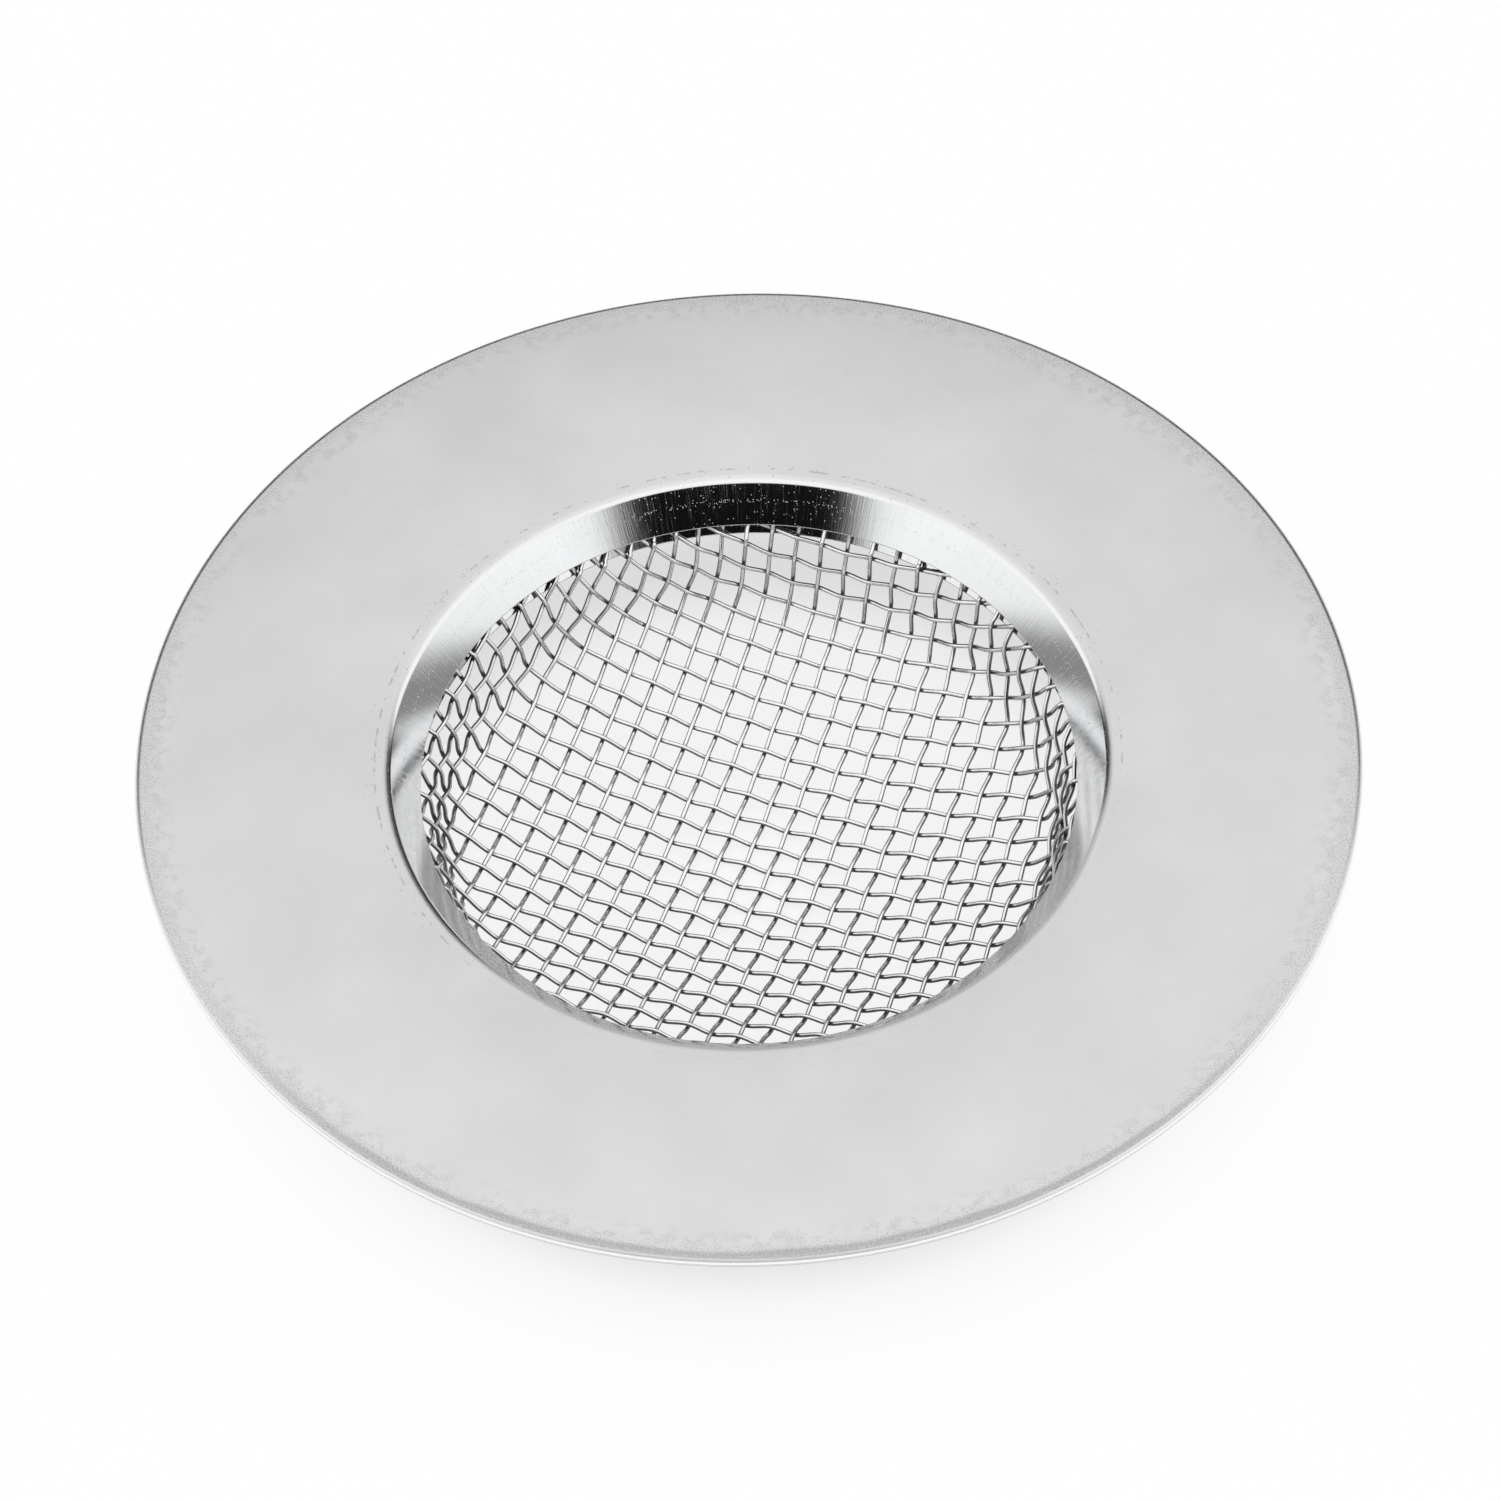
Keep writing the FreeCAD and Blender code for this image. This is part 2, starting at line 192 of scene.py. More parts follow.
sideways = soft_step(room, calculate(room, "ABSOLUTE", east), SIDE_EDGES)
panels = patch(sideways, SIDE_TOP, SIDE_LIGHT)
level = calculate(room, "SQRT", calculate(room, "SUBTRACT", 1.0, product(room, up, up)))
to_front = calculate(room, "DIVIDE", product(room, north, -1.0), level)
in_front = product(
    room, soft_step(room, to_front, DARK_SIDE_EDGES), soft_step(room, up, DARK_SIDE_BOTTOM)
)
dark_front = patch(in_front, DARK_SIDE_TOP, DARK_SIDE_LIGHT)
dim_back = patch(soft_step(room, north, BACK_EDGES), BACK_TOP, BACK_LIGHT)
strength = product(room, sky, low_room, panels, dark_front, dim_back)
to_eye = add_node(room, "ShaderNodeLightPath").outputs["Is Camera Ray"]
background = add_node(room, "ShaderNodeBackground", {"Strength": mixed(room, to_eye, strength, 1.0)})
add_node(room, "ShaderNodeOutputWorld", {"Surface": background.outputs[0]})
print("studio of", len(room.nodes), "nodes")

# %% [markdown]
# ## The white sheet
#
# The strainer stands on a sheet of white paper that shows pure white, with a soft shadow under the
# flange. More light would burn out the steel as well. So the paper's shader asks which ray looks at
# it: for the camera, and for mirror images of the paper further out, a large share of it glows white.
# For all other light it is plain matt paper, and the matt share keeps the shadow. The share that
# glows is smaller near the strainer, and smallest in a ring under the flange, where little light
# gets in. From below the sheet is clear, so that the underside can be looked at.

# %% White sheet
FLOOR_HALF = 1.5
FLOOR_COLOUR = (0.95, 0.95, 0.95, 1)
NEAR_GLOW = 0.80
FAR_GLOW = 0.98
FAR_EDGES = (31 * MM, 47 * MM)
SHADE_GLOW = 0.55
SHADE_IN = (23 * MM, 31 * MM)
SHADE_OUT = (32 * MM, 39 * MM)


def add_piece(name, mesh):
    """Put a mesh in the scene as an object at the origin."""
    piece = bpy.data.objects.new(name, mesh)
    bpy.context.collection.objects.link(piece)
    return piece


floor_mesh = bpy.data.meshes.new("floor")
corners = [(x * FLOOR_HALF, y * FLOOR_HALF, 0) for x, y in ((-1, -1), (1, -1), (1, 1), (-1, 1))]
floor_mesh.from_pydata(corners, [], [(0, 1, 2, 3)])
floor = add_piece("floor", floor_mesh)
print("white sheet", 2 * FLOOR_HALF, "m wide")

# %% Paper of the sheet
paper = bpy.data.materials.new("white_paper")
paper.use_nodes = True
sheet = paper.node_tree
sheet.nodes.clear()
on_sheet = add_node(sheet, "ShaderNodeTexCoord").outputs["Object"]
from_axis = add_node(sheet, "ShaderNodeVectorMath", {0: on_sheet}, operation="LENGTH").outputs["Value"]
ray = add_node(sheet, "ShaderNodeLightPath").outputs
shaded = product(
    sheet, soft_step(sheet, from_axis, SHADE_IN), soft_step(sheet, from_axis, SHADE_OUT, 1.0, 0.0)
)
glow_open = soft_step(sheet, from_axis, FAR_EDGES, NEAR_GLOW, FAR_GLOW)
by_eye = product(sheet, ray["Is Camera Ray"], mixed(sheet, shaded, glow_open, SHADE_GLOW))
far_off = soft_step(sheet, from_axis, SHADE_OUT, 0.0, FAR_GLOW)
by_mirror = product(sheet, ray["Is Glossy Ray"], far_off)
glow_share = calculate(sheet, "MAXIMUM", by_eye, by_mirror)
matt = add_node(sheet, "ShaderNodeBsdfDiffuse", {"Color": FLOOR_COLOUR})
white = add_node(sheet, "ShaderNodeEmission", {"Strength": 1.0})
lit = add_node(sheet, "ShaderNodeMixShader", {0: glow_share, 1: matt.outputs[0], 2: white.outputs[0]})
from_below = add_node(sheet, "ShaderNodeNewGeometry").outputs["Backfacing"]
clear = add_node(sheet, "ShaderNodeBsdfTransparent")
one_way = add_node(sheet, "ShaderNodeMixShader", {0: from_below, 1: lit.outputs[0], 2: clear.outputs[0]})
add_node(sheet, "ShaderNodeOutputMaterial", {"Surface": one_way.outputs[0]})
floor_mesh.materials.append(paper)
print("paper of", len(sheet.nodes), "nodes")

# %% [markdown]
# ## The plates
#
# Each plate is a ring pressed from thin sheet. Its section is a strip of constant thickness with a
# few bends, and the whole ring is that section taken once round the axis. The section could be drawn
# point by point. It is shorter to list its corners, each with the radius of its bend, and to let a
# function round them. Only the lip is drawn a little rounder on its outside than the sheet's bend,
# which gives it a softer glint.

# %% Sizes of the plates
SHEET = 0.35 * MM
LIP_RADIUS = 26.7 * MM
LIP_INNER_BEND = 0.2 * MM
LIP_OUTER_BEND = 0.95 * MM
SEAT_INNER_BEND = 0.6 * MM
FOLD_WIDTH = 3.2 * MM
COLLAR_LEAN = math.radians(41)
UPPER_COLLAR_DEPTH = 2.7 * MM
LOWER_COLLAR_DEPTH = 4.0 * MM
WIRE_DIAMETER = 0.33 * MM
WEAVE_CLEARANCE = 0.03 * MM
PRESS_CLEARANCE = 0.01 * MM
MESH_HEM = 1.8 * MM
STEP_MARGIN = 0.4 * MM
STEP_LEAN = math.radians(45)
STEP_BEND = 0.15 * MM
CUT_ROUND = 0.07 * MM
MESH_THICKNESS = 2 * WIRE_DIAMETER + WEAVE_CLEARANCE
SEAT_DEPTH = SHEET + MESH_THICKNESS + 2 * PRESS_CLEARANCE
MESH_DEPTH = SHEET + PRESS_CLEARANCE + MESH_THICKNESS / 2
HEM_HEIGHT = 3 * SHEET + 2 * PRESS_CLEARANCE
RIM_LOW = FLANGE_TOP - HEM_HEIGHT
print("rolled rim from", round(RIM_LOW / MM, 3), "to", round(FLANGE_TOP / MM, 3), "mm")

# %% Round the corners of a section
# The turn, in radians, from one point of a bend to the next.
BEND_STEP = 0.12


def rounded(corners):
    """Points of a closed outline whose corners (x, z, bend) are rounded by their bend radius."""
    points = []
    count = len(corners)
    for index in range(count):
        before, corner, after = (Vector(corners[(index + k) % count][:2]) for k in (-1, 0, 1))
        bend = corners[index][2]
        ahead = (corner - before).normalized()
        onward = (after - corner).normalized()
        turn = ahead.angle_signed(onward)
        start = corner - ahead * bend * math.tan(abs(turn) / 2)
        inwards = Vector((-ahead.y, ahead.x)) * math.copysign(1, -turn)
        centre = start + inwards * bend
        steps = max(2, math.ceil(abs(turn) / BEND_STEP))
        for k in range(steps + 1):
            points.append(centre + Matrix.Rotation(-turn * k / steps, 2) @ (start - centre))
    return points


print("a quarter bend has", math.ceil(math.pi / 2 / BEND_STEP) + 1, "points")

# %% Lip and collar
to_corner = math.tan((math.pi / 2 - COLLAR_LEAN) / 2)
lip_corner = LIP_RADIUS - (LIP_INNER_BEND + SHEET) * to_corner
down_collar = Vector((-math.sin(COLLAR_LEAN), -math.cos(COLLAR_LEAN)))


def layer_corner(below_top):
    """Where flange and collar of a layer would meet without a bend, so far below the flange's top."""
    return Vector((lip_corner + below_top * to_corner, FLANGE_TOP - below_top))


def collar_end(below_top, depth):
    """Where the collar of a layer ends, at a depth below the flange's top."""
    return layer_corner(below_top) + down_collar * (depth - below_top) / math.cos(COLLAR_LEAN)


def collar_corners(below_top, outer_bend, inner_bend, depth):
    """Corners of a lip and its collar: flange side above, cut edge, flange side below."""
    lower = layer_corner(below_top + SHEET)
    upper_end = collar_end(below_top, depth)
    lower_end = lower + down_collar * (upper_end - lower).dot(down_collar)
    return [
        (*layer_corner(below_top), outer_bend),
        (*upper_end, CUT_ROUND),
        (*lower_end, CUT_ROUND),
        (*lower, inner_bend),
    ]


print("collar's cut edge at radius", round(collar_end(0, UPPER_COLLAR_DEPTH).x / MM, 2), "mm")

# %% Sections of both plates
roll = HEM_HEIGHT / 2
top_section = rounded([
    (RIM_RADIUS - FOLD_WIDTH, RIM_LOW, CUT_ROUND),
    (RIM_RADIUS, RIM_LOW, roll),
    (RIM_RADIUS, FLANGE_TOP, roll),
    *collar_corners(0, LIP_OUTER_BEND, LIP_INNER_BEND, UPPER_COLLAR_DEPTH),
    (RIM_RADIUS - SHEET, FLANGE_TOP - SHEET, roll - SHEET),
    (RIM_RADIUS - SHEET, RIM_LOW + SHEET, roll - SHEET),
    (RIM_RADIUS - FOLD_WIDTH, RIM_LOW + SHEET, CUT_ROUND),
])
seat = RIM_LOW + SHEET + PRESS_CLEARANCE
drop = SEAT_DEPTH - SHEET - PRESS_CLEARANCE
mesh_bend = LIP_INNER_BEND + MESH_THICKNESS / 2
mesh_start = lip_corner + (MESH_DEPTH + mesh_bend) * to_corner
step_in = mesh_start + MESH_HEM + STEP_MARGIN
step_out = step_in + drop / math.tan(STEP_LEAN)
under_step = SHEET * math.tan(STEP_LEAN / 2)
bottom_section = rounded([
    (RIM_RADIUS - roll, seat, CUT_ROUND),
    (RIM_RADIUS - roll, seat + SHEET, CUT_ROUND),
    (step_out, seat + SHEET, STEP_BEND),
    (step_in, seat + SHEET - drop, STEP_BEND),
    *collar_corners(SEAT_DEPTH, SEAT_INNER_BEND + SHEET, SEAT_INNER_BEND, LOWER_COLLAR_DEPTH),
    (step_in + under_step, seat - drop, STEP_BEND),
    (step_out + under_step, seat, STEP_BEND),
])
print("section points: top plate", len(top_section), "bottom plate", len(bottom_section))

# %% [markdown]
# ## The lathe
#
# A real ring plate is pressed, but its shape is the same as if it were turned. Blender's Spin tool or a
# Screw modifier could turn the section. In Geometry Nodes a lathe is Curve to Mesh: the section is
# the profile, and a circle of the lip's radius is the path. Many short steps keep the reflections
# smooth. A tree that both plates share needs named inputs and an end that leaves a plain mesh.


# %% Trees of Geometry Nodes
def new_tree(name, **sockets):
    """Start a Geometry Nodes tree with named inputs of a kind and a geometry output."""
    tree = bpy.data.node_groups.new(name, "GeometryNodeTree")
    tree.interface.new_socket("Geometry", in_out="INPUT", socket_type="NodeSocketGeometry")
    for socket, kind in sockets.items():
        tree.interface.new_socket(socket, in_out="INPUT", socket_type=f"NodeSocket{kind}")
    tree.interface.new_socket("Geometry", in_out="OUTPUT", socket_type="NodeSocketGeometry")
    return tree, tree.nodes.new("NodeGroupInput").outputs, tree.nodes.new("NodeGroupOutput")


def circle(tree, radius, steps):
    """A circle of a radius, as a line of so many steps."""
    inputs = {"Radius": radius, "Resolution": steps}
    return add_node(tree, "GeometryNodeCurvePrimitiveCircle", inputs).outputs[0]


def swept(tree, path, profile, capped):
    """Sweep a profile along a path, with closed ends or none."""
    inputs = {"Curve": path, "Profile Curve": profile, "Fill Caps": capped}
    return add_node(tree, "GeometryNodeCurveToMesh", inputs).outputs[0]


def finish_tree(tree, shape, material, end):
    """End a tree: smooth faces, real meshes for instances, and the material."""
    smooth = add_node(tree, "GeometryNodeSetShadeSmooth", {"Geometry": shape})
    real = add_node(tree, "GeometryNodeRealizeInstances", {0: smooth.outputs[0]})
    inputs = {"Geometry": real.outputs[0], "Material": material}
    painted = add_node(tree, "GeometryNodeSetMaterial", inputs)
    tree.links.new(painted.outputs[0], end.inputs[0])
    print(tree.name, "tree with", len(tree.nodes), "nodes")


# %% The lathe's tree
lathe, lathe_in, lathe_out = new_tree("lathe", Radius="Float", Steps="Int", Finish="Material")
section_line = add_node(lathe, "GeometryNodeMeshToCurve", {0: lathe_in["Geometry"]}).outputs[0]
once_round = circle(lathe, lathe_in["Radius"], lathe_in["Steps"])
ring = swept(lathe, once_round, section_line, False)
finish_tree(lathe, ring, lathe_in["Finish"], lathe_out)


# %% Run a tree
def made_by(tree, name, mesh, **values):
    """Run a mesh through a tree with these input values and return the plain result as an object."""
    source = add_piece(f"{name}_source", mesh)
    modifier = source.modifiers.new("rule", "NODES")
    modifier.node_group = tree
    for item in tree.interface.items_tree:
        if item.in_out == "INPUT" and item.name in values:
            modifier[item.identifier] = values[item.name]
    graph = bpy.context.evaluated_depsgraph_get()
    result = bpy.data.meshes.new_from_object(source.evaluated_get(graph))
    bpy.data.objects.remove(source)
    result.name = name
    return add_piece(name, result)


print("trees so far:", [tree.name for tree in bpy.data.node_groups])

# %% [markdown]
# ## The steel of the plates
#
# The flange is satin, and the lip and the collar were drawn over a polished die, which leaves a
# mirror with fine marks down the slope. Two materials could meet at an edge of the mesh. One
# material can hold both finishes, because radius, depth and angle about the axis follow from Object
# coordinates: so the finishes blend where the real ones do.


# %% Patterns
def noise(tree, vector, scale, detail):
    """A soft noise from 0 to 1 that reads a vector at a scale."""
    inputs = {"Vector": vector, "Scale": scale, "Detail": detail}
    return add_node(tree, "ShaderNodeTexNoise", inputs, noise_dimensions="3D").outputs["Fac"]


def dots(tree, vector, spacing, size, share):
    """Small round spots, 1 inside: one in a share of the cells of a spacing, of a size in cells."""
    cells = add_node(tree, "ShaderNodeTexVoronoi", {"Vector": vector, "Scale": 1 / spacing}, feature="F1")
    pick = add_node(tree, "ShaderNodeSeparateColor", {0: cells.outputs["Color"]}).outputs[0]
    spot = soft_step(tree, cells.outputs["Distance"], (size / 2, size), 1.0, 0.0)
    return product(tree, spot, calculate(tree, "LESS_THAN", pick, share))


def band(tree, value, middle, half):
    """A soft band, 1 where a socket's value is at the middle and 0 from half a width off."""
    off = calculate(tree, "ABSOLUTE", calculate(tree, "SUBTRACT", value, middle))
    return soft_step(tree, off, (0.0, half), 1.0, 0.0)


def new_steel(name):
    """Start a metal material and return it with its tree, its shader and its Object coordinates."""
    material = bpy.data.materials.new(name)
    material.use_nodes = True
    tree = material.node_tree
    shader = tree.nodes["Principled BSDF"]
    shader.inputs["Metallic"].default_value = 1.0
    return material, tree, shader, add_node(tree, "ShaderNodeTexCoord").outputs["Object"]


print("patterns:", ", ".join(f.__name__ for f in (noise, dots, band)))

# %% Places on a plate
plate_steel, steel, steel_shader, place_on = new_steel("plate_steel")
x_place, y_place, height = add_node(steel, "ShaderNodeSeparateXYZ", {0: place_on}).outputs
flat = add_node(steel, "ShaderNodeCombineXYZ", {0: x_place, 1: y_place}).outputs[0]
radius = add_node(steel, "ShaderNodeVectorMath", {0: flat}, operation="LENGTH").outputs["Value"]
spoke = add_node(steel, "ShaderNodeVectorMath", {0: flat}, operation="NORMALIZE").outputs[0]
below_top = calculate(steel, "SUBTRACT", FLANGE_TOP, height)
print("places by radius, spoke and depth:", len(steel.nodes), "nodes")

# %% [markdown]
# ## The flange
#
# The flange is a satin blank, slightly mottled and clouded by the press. An image could hold these
# marks, but noise at two sizes gives them without a file, and never repeats. A third, finer grain is
# kept for the worn parts.

# %% Satin of the flange
MOTTLE_SIZE = 0.7 * MM
MOTTLE_DETAIL = 4.0
CLOUD_SIZE = 9 * MM
CLOUD_DETAIL = 3.0
GRAIN_SIZE = 0.14 * MM
GRAIN_DETAIL = 2.0
SATIN_TONE = (0.70, 0.76)
CLOUD_TONE = (-0.07, 0.07)
SATIN_ROUGHNESS = (0.24, 0.36)

mottle = noise(steel, place_on, 1 / MOTTLE_SIZE, MOTTLE_DETAIL)
cloud = noise(steel, place_on, 1 / CLOUD_SIZE, CLOUD_DETAIL)
grain = noise(steel, place_on, 1 / GRAIN_SIZE, GRAIN_DETAIL)
satin_tone = calculate(steel, "ADD", mixed(steel, mottle, *SATIN_TONE), mixed(steel, cloud, *CLOUD_TONE))
satin_roughness = mixed(steel, mottle, *SATIN_ROUGHNESS)
print("satin of tone", SATIN_TONE, "and roughness", SATIN_ROUGHNESS)

# %% [markdown]
# ## The worn rim
#
# Handling has scuffed the flange towards its rim: first in flecks, then in a grainy band. The edges of both
# wander, because wear is never a true circle. They could be painted by hand. A soft step of the radius does
# the same all the way round, with the clouds added to the radius to make it wander. Along the front a dark
# line is painted near the outer edge of the band, as painted shade where the flange starts to roll down.

# %% Worn rim
WORN_EDGES = (RIM_RADIUS - 1.7 * MM, RIM_RADIUS - 0.7 * MM)
WORN_TONE = (0.34, 1.0)
WORN_WANDER = 1.0 * MM
CLOUD_MIDDLE = 0.5
FLECK_EDGES = (RIM_RADIUS - 3.4 * MM, RIM_RADIUS - 1.2 * MM)
FLECK_MOTTLE = (0.45, 0.62)
FLECK_TONE = (0.36, 0.96)
FRONT_SHADE_EDGES = (-38 * MM, -20 * MM)
FRONT_SHADE_BAND = (RIM_RADIUS - 1.0 * MM, RIM_RADIUS - 0.6 * MM)
FRONT_SHADE_SHARE = 0.30
FRONT_SHADE_TONE = 0.05

wander = product(steel, calculate(steel, "SUBTRACT", cloud, CLOUD_MIDDLE), WORN_WANDER)
near_rim = calculate(steel, "ADD", radius, wander)
flecked = product(steel, soft_step(steel, near_rim, FLECK_EDGES), soft_step(steel, mottle, FLECK_MOTTLE))
flange_tone = mixed(steel, flecked, satin_tone, mixed(steel, grain, *FLECK_TONE))
worn = soft_step(steel, near_rim, WORN_EDGES)
flange_tone = mixed(steel, worn, flange_tone, mixed(steel, grain, *WORN_TONE))
# Painted shade: a dark line along the front of the rim, just inside the roll.
along_front = soft_step(steel, y_place, FRONT_SHADE_EDGES, FRONT_SHADE_SHARE, 0.0)
front_rim_shade = product(steel, along_front, soft_step(steel, near_rim, FRONT_SHADE_BAND))
flange_tone = mixed(steel, front_rim_shade, flange_tone, FRONT_SHADE_TONE)
print("worn from", round(WORN_EDGES[0] / MM, 2), "mm outwards, flecked from", round(FLECK_EDGES[0] / MM, 2))

# %% [markdown]
# ## The rolled hem
#
# The rim is rolled down and under, and the roll has a lighter tone than the flange: it shows as a white line
# round the front. It could be a material of its own. The depth below the flange tells it apart as well: it
# starts bright and brushed, is smoother at its middle, where it mirrors the white sheet, and below that it
# gets a painted shade, a dark line under the roll.

# %% Rolled hem
HEM_EDGES = (0.06 * MM, 0.13 * MM)
HEM_POLISH = (0.20 * MM, 0.30 * MM)
HEM_ROUGHNESS = (0.55, 0.18)
HEM_SHADE_EDGES = (0.60 * MM, 0.70 * MM)
HEM_TONE_AND_SHADE = (0.97, 0.30)

hem = product(steel, soft_step(steel, below_top, HEM_EDGES), soft_step(steel, radius, WORN_EDGES))
# The lighter tone of the roll turns into painted shade on its lower part.
flange_tone = mixed(steel, hem, flange_tone, soft_step(steel, below_top, HEM_SHADE_EDGES, *HEM_TONE_AND_SHADE))
hem_roughness = soft_step(steel, below_top, HEM_POLISH, *HEM_ROUGHNESS)
flange_roughness = mixed(steel, hem, satin_roughness, hem_roughness)
print("hem below", round(HEM_EDGES[0] / MM, 2), "mm, dark below", round(HEM_SHADE_EDGES[0] / MM, 2), "mm")

# %% [markdown]
# ## Marks round the lip
#
# The edge of the die has left a broken ring and some dark spots on the flange, just outside the lip.
# Along the front the marks are faint, and there the lip is brushed and pale. Modelled dents would be
# far too fine for the mesh, so noise breaks a thin band into dashes, and a Voronoi texture gives the
# spots. The front is slanted, because the brushed part reaches further up on the right.

# %% Dashes, spots and the brushed lip
# The size of a spot is given in cells of its spacing.
DIE_RING_RADIUS = LIP_RADIUS + 0.675 * MM
DIE_RING_HALF = 0.125 * MM
DIE_RING_MOTTLE = (0.5, 0.6)
DIE_SPOT_EDGES = (LIP_RADIUS + 0.7 * MM, LIP_RADIUS + 2.0 * MM)
DIE_SPOT_SPACING = 0.30 * MM
DIE_SPOT_SIZE = 0.30
DIE_SPOT_SHARE = 0.16
DIE_STRENGTH = (0.55, 0.10)
DIE_TONE = 0.30
FRONT_LIP_EDGES = (-16 * MM, -7 * MM)
FRONT_LIP_SLANT = 0.28
LIP_EDGES = (LIP_RADIUS + 0.05 * MM, LIP_RADIUS + 0.25 * MM)
LIP_END = (0.22 * MM, 0.34 * MM)
LIP_TONE = 0.96
LIP_ROUGHNESS = 0.60

slanted = calculate(steel, "SUBTRACT", y_place, product(steel, x_place, FRONT_LIP_SLANT))
front_lip = soft_step(steel, slanted, FRONT_LIP_EDGES, 1.0, 0.0)
die_ring = band(steel, radius, DIE_RING_RADIUS, DIE_RING_HALF)
dashes = product(steel, die_ring, soft_step(steel, mottle, DIE_RING_MOTTLE))
die_spots = dots(steel, place_on, DIE_SPOT_SPACING, DIE_SPOT_SIZE, DIE_SPOT_SHARE)
spotted = product(steel, die_spots, soft_step(steel, near_rim, DIE_SPOT_EDGES, 1.0, 0.0))
die_marks = calculate(steel, "MAXIMUM", dashes, spotted)
die_share = product(steel, die_marks, mixed(steel, front_lip, *DIE_STRENGTH))
flange_tone = mixed(steel, die_share, flange_tone, DIE_TONE)
on_lip = soft_step(steel, radius, LIP_EDGES, 1.0, 0.0)
brushed = product(steel, on_lip, soft_step(steel, below_top, LIP_END, 1.0, 0.0), front_lip)
flange_tone = mixed(steel, brushed, flange_tone, LIP_TONE)
flange_roughness = mixed(steel, brushed, flange_roughness, LIP_ROUGHNESS)
print("die ring at radius", round(DIE_RING_RADIUS / MM, 2), "mm")

# %% [markdown]
# ## The collar
#
# The die has polished the collar and drawn fine marks down its slope. A row of rough specks runs
# round it where the sheet was pulled over the edge, and single specks lie all over it. Each mark
# could be cut into the mesh, but they are finer than its faces. Streaks of noise that follow the
# angle about the axis roughen the mirror, and a very shallow bump lets them catch the light.

# %% Drawing marks and specks
# The sizes of specks are given in cells of their spacing.
MARK_WIDTH = 0.10 * MM
MARK_LENGTH = 2.5 * MM
MARK_DETAIL = 3.0
MARK_EDGES = (0.50, 0.75)
MARK_DEPTH = 0.004 * MM
SPECK_LINE_DEPTH = 1.3 * MM
SPECK_LINE_HALF = 0.22 * MM
ROW_SPACING = 0.14 * MM
ROW_SIZE = 0.42
ROW_SHARE = 0.5
SPECK_SPACING = 0.20 * MM
SPECK_SIZE = 0.26
SPECK_SHARE = 0.22
SPECK_ROUGHNESS = 0.60
COLLAR_TONE = (0.80, 0.94)
COLLAR_ROUGHNESS = (0.06, 0.18)

turned = add_node(
    steel, "ShaderNodeVectorMath", {0: spoke, "Scale": LIP_RADIUS / MARK_WIDTH}, operation="SCALE"
)
lifted = add_node(steel, "ShaderNodeCombineXYZ", {2: product(steel, height, 1 / MARK_LENGTH)})
streaked = add_node(
    steel, "ShaderNodeVectorMath", {0: turned.outputs[0], 1: lifted.outputs[0]}, operation="ADD"
)
marks = noise(steel, streaked.outputs[0], 1.0, MARK_DETAIL)
on_line = band(steel, below_top, SPECK_LINE_DEPTH, SPECK_LINE_HALF)
row = product(steel, on_line, dots(steel, place_on, ROW_SPACING, ROW_SIZE, ROW_SHARE))
strewn = dots(steel, place_on, SPECK_SPACING, SPECK_SIZE, SPECK_SHARE)
specked = calculate(steel, "MAXIMUM", row, strewn)
collar_tone = mixed(steel, marks, *COLLAR_TONE)
drawn_roughness = mixed(steel, soft_step(steel, marks, MARK_EDGES), *COLLAR_ROUGHNESS)
collar_roughness = mixed(steel, specked, drawn_roughness, SPECK_ROUGHNESS)
print("marks", round(MARK_WIDTH / MM, 2), "mm wide, specks", round(SPECK_LINE_DEPTH / MM, 2), "mm down")

# %% [markdown]
# ## Both finishes on one plate
#
# The polish starts on the bend of the lip and covers the collar. A mask of radius and depth says
# where. It blends the tone, the roughness and the bump of both finishes, and takes a trace of red
# and green out of the mirror, because polished steel looks a little cooler than satin.

# %% Join the finishes
POLISH_EDGES = (LIP_RADIUS - 0.1 * MM, LIP_RADIUS + 0.15 * MM)
POLISH_DEPTHS = (0.04 * MM, 0.16 * MM)
COLLAR_RED = 0.98
COLLAR_GREEN = 0.99

inside_lip = soft_step(steel, radius, POLISH_EDGES, 1.0, 0.0)
not_brushed = calculate(steel, "SUBTRACT", 1.0, brushed)
polished = product(steel, inside_lip, soft_step(steel, below_top, POLISH_DEPTHS), not_brushed)
tone = mixed(steel, polished, flange_tone, collar_tone)
red = product(steel, tone, mixed(steel, polished, 1.0, COLLAR_RED))
green = product(steel, tone, mixed(steel, polished, 1.0, COLLAR_GREEN))
steel_colour = add_node(steel, "ShaderNodeCombineColor", {0: red, 1: green, 2: tone}).outputs[0]
scratches = add_node(
    steel, "ShaderNodeBump", {"Distance": MARK_DEPTH, "Height": product(steel, marks, polished)}
)
steel.links.new(steel_colour, steel_shader.inputs["Base Color"])
steel.links.new(mixed(steel, polished, flange_roughness, collar_roughness), steel_shader.inputs["Roughness"])
steel.links.new(scratches.outputs[0], steel_shader.inputs["Normal"])
print("plate steel with", len(steel.nodes), "nodes")

# %% Turn the plates
LATHE_STEPS = 480


def turned_plate(name, section):
    """Turn a closed section into a ring plate. The profile's second axis points down."""
    mesh = bpy.data.meshes.new(f"{name}_section")
    points = [(x - LIP_RADIUS, -z, 0) for x, z in section]
    edges = [(k, (k + 1) % len(points)) for k in range(len(points))]
    mesh.from_pydata(points, edges, [])
    plate = made_by(lathe, f"{name}_ring", mesh, Radius=LIP_RADIUS, Steps=LATHE_STEPS, Finish=plate_steel)
    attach(plate, "root")
    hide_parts(name)
    print(plate.name, len(plate.data.polygons), "faces")


turned_plate("top_plate", top_section)
turned_plate("bottom_plate", bottom_section)

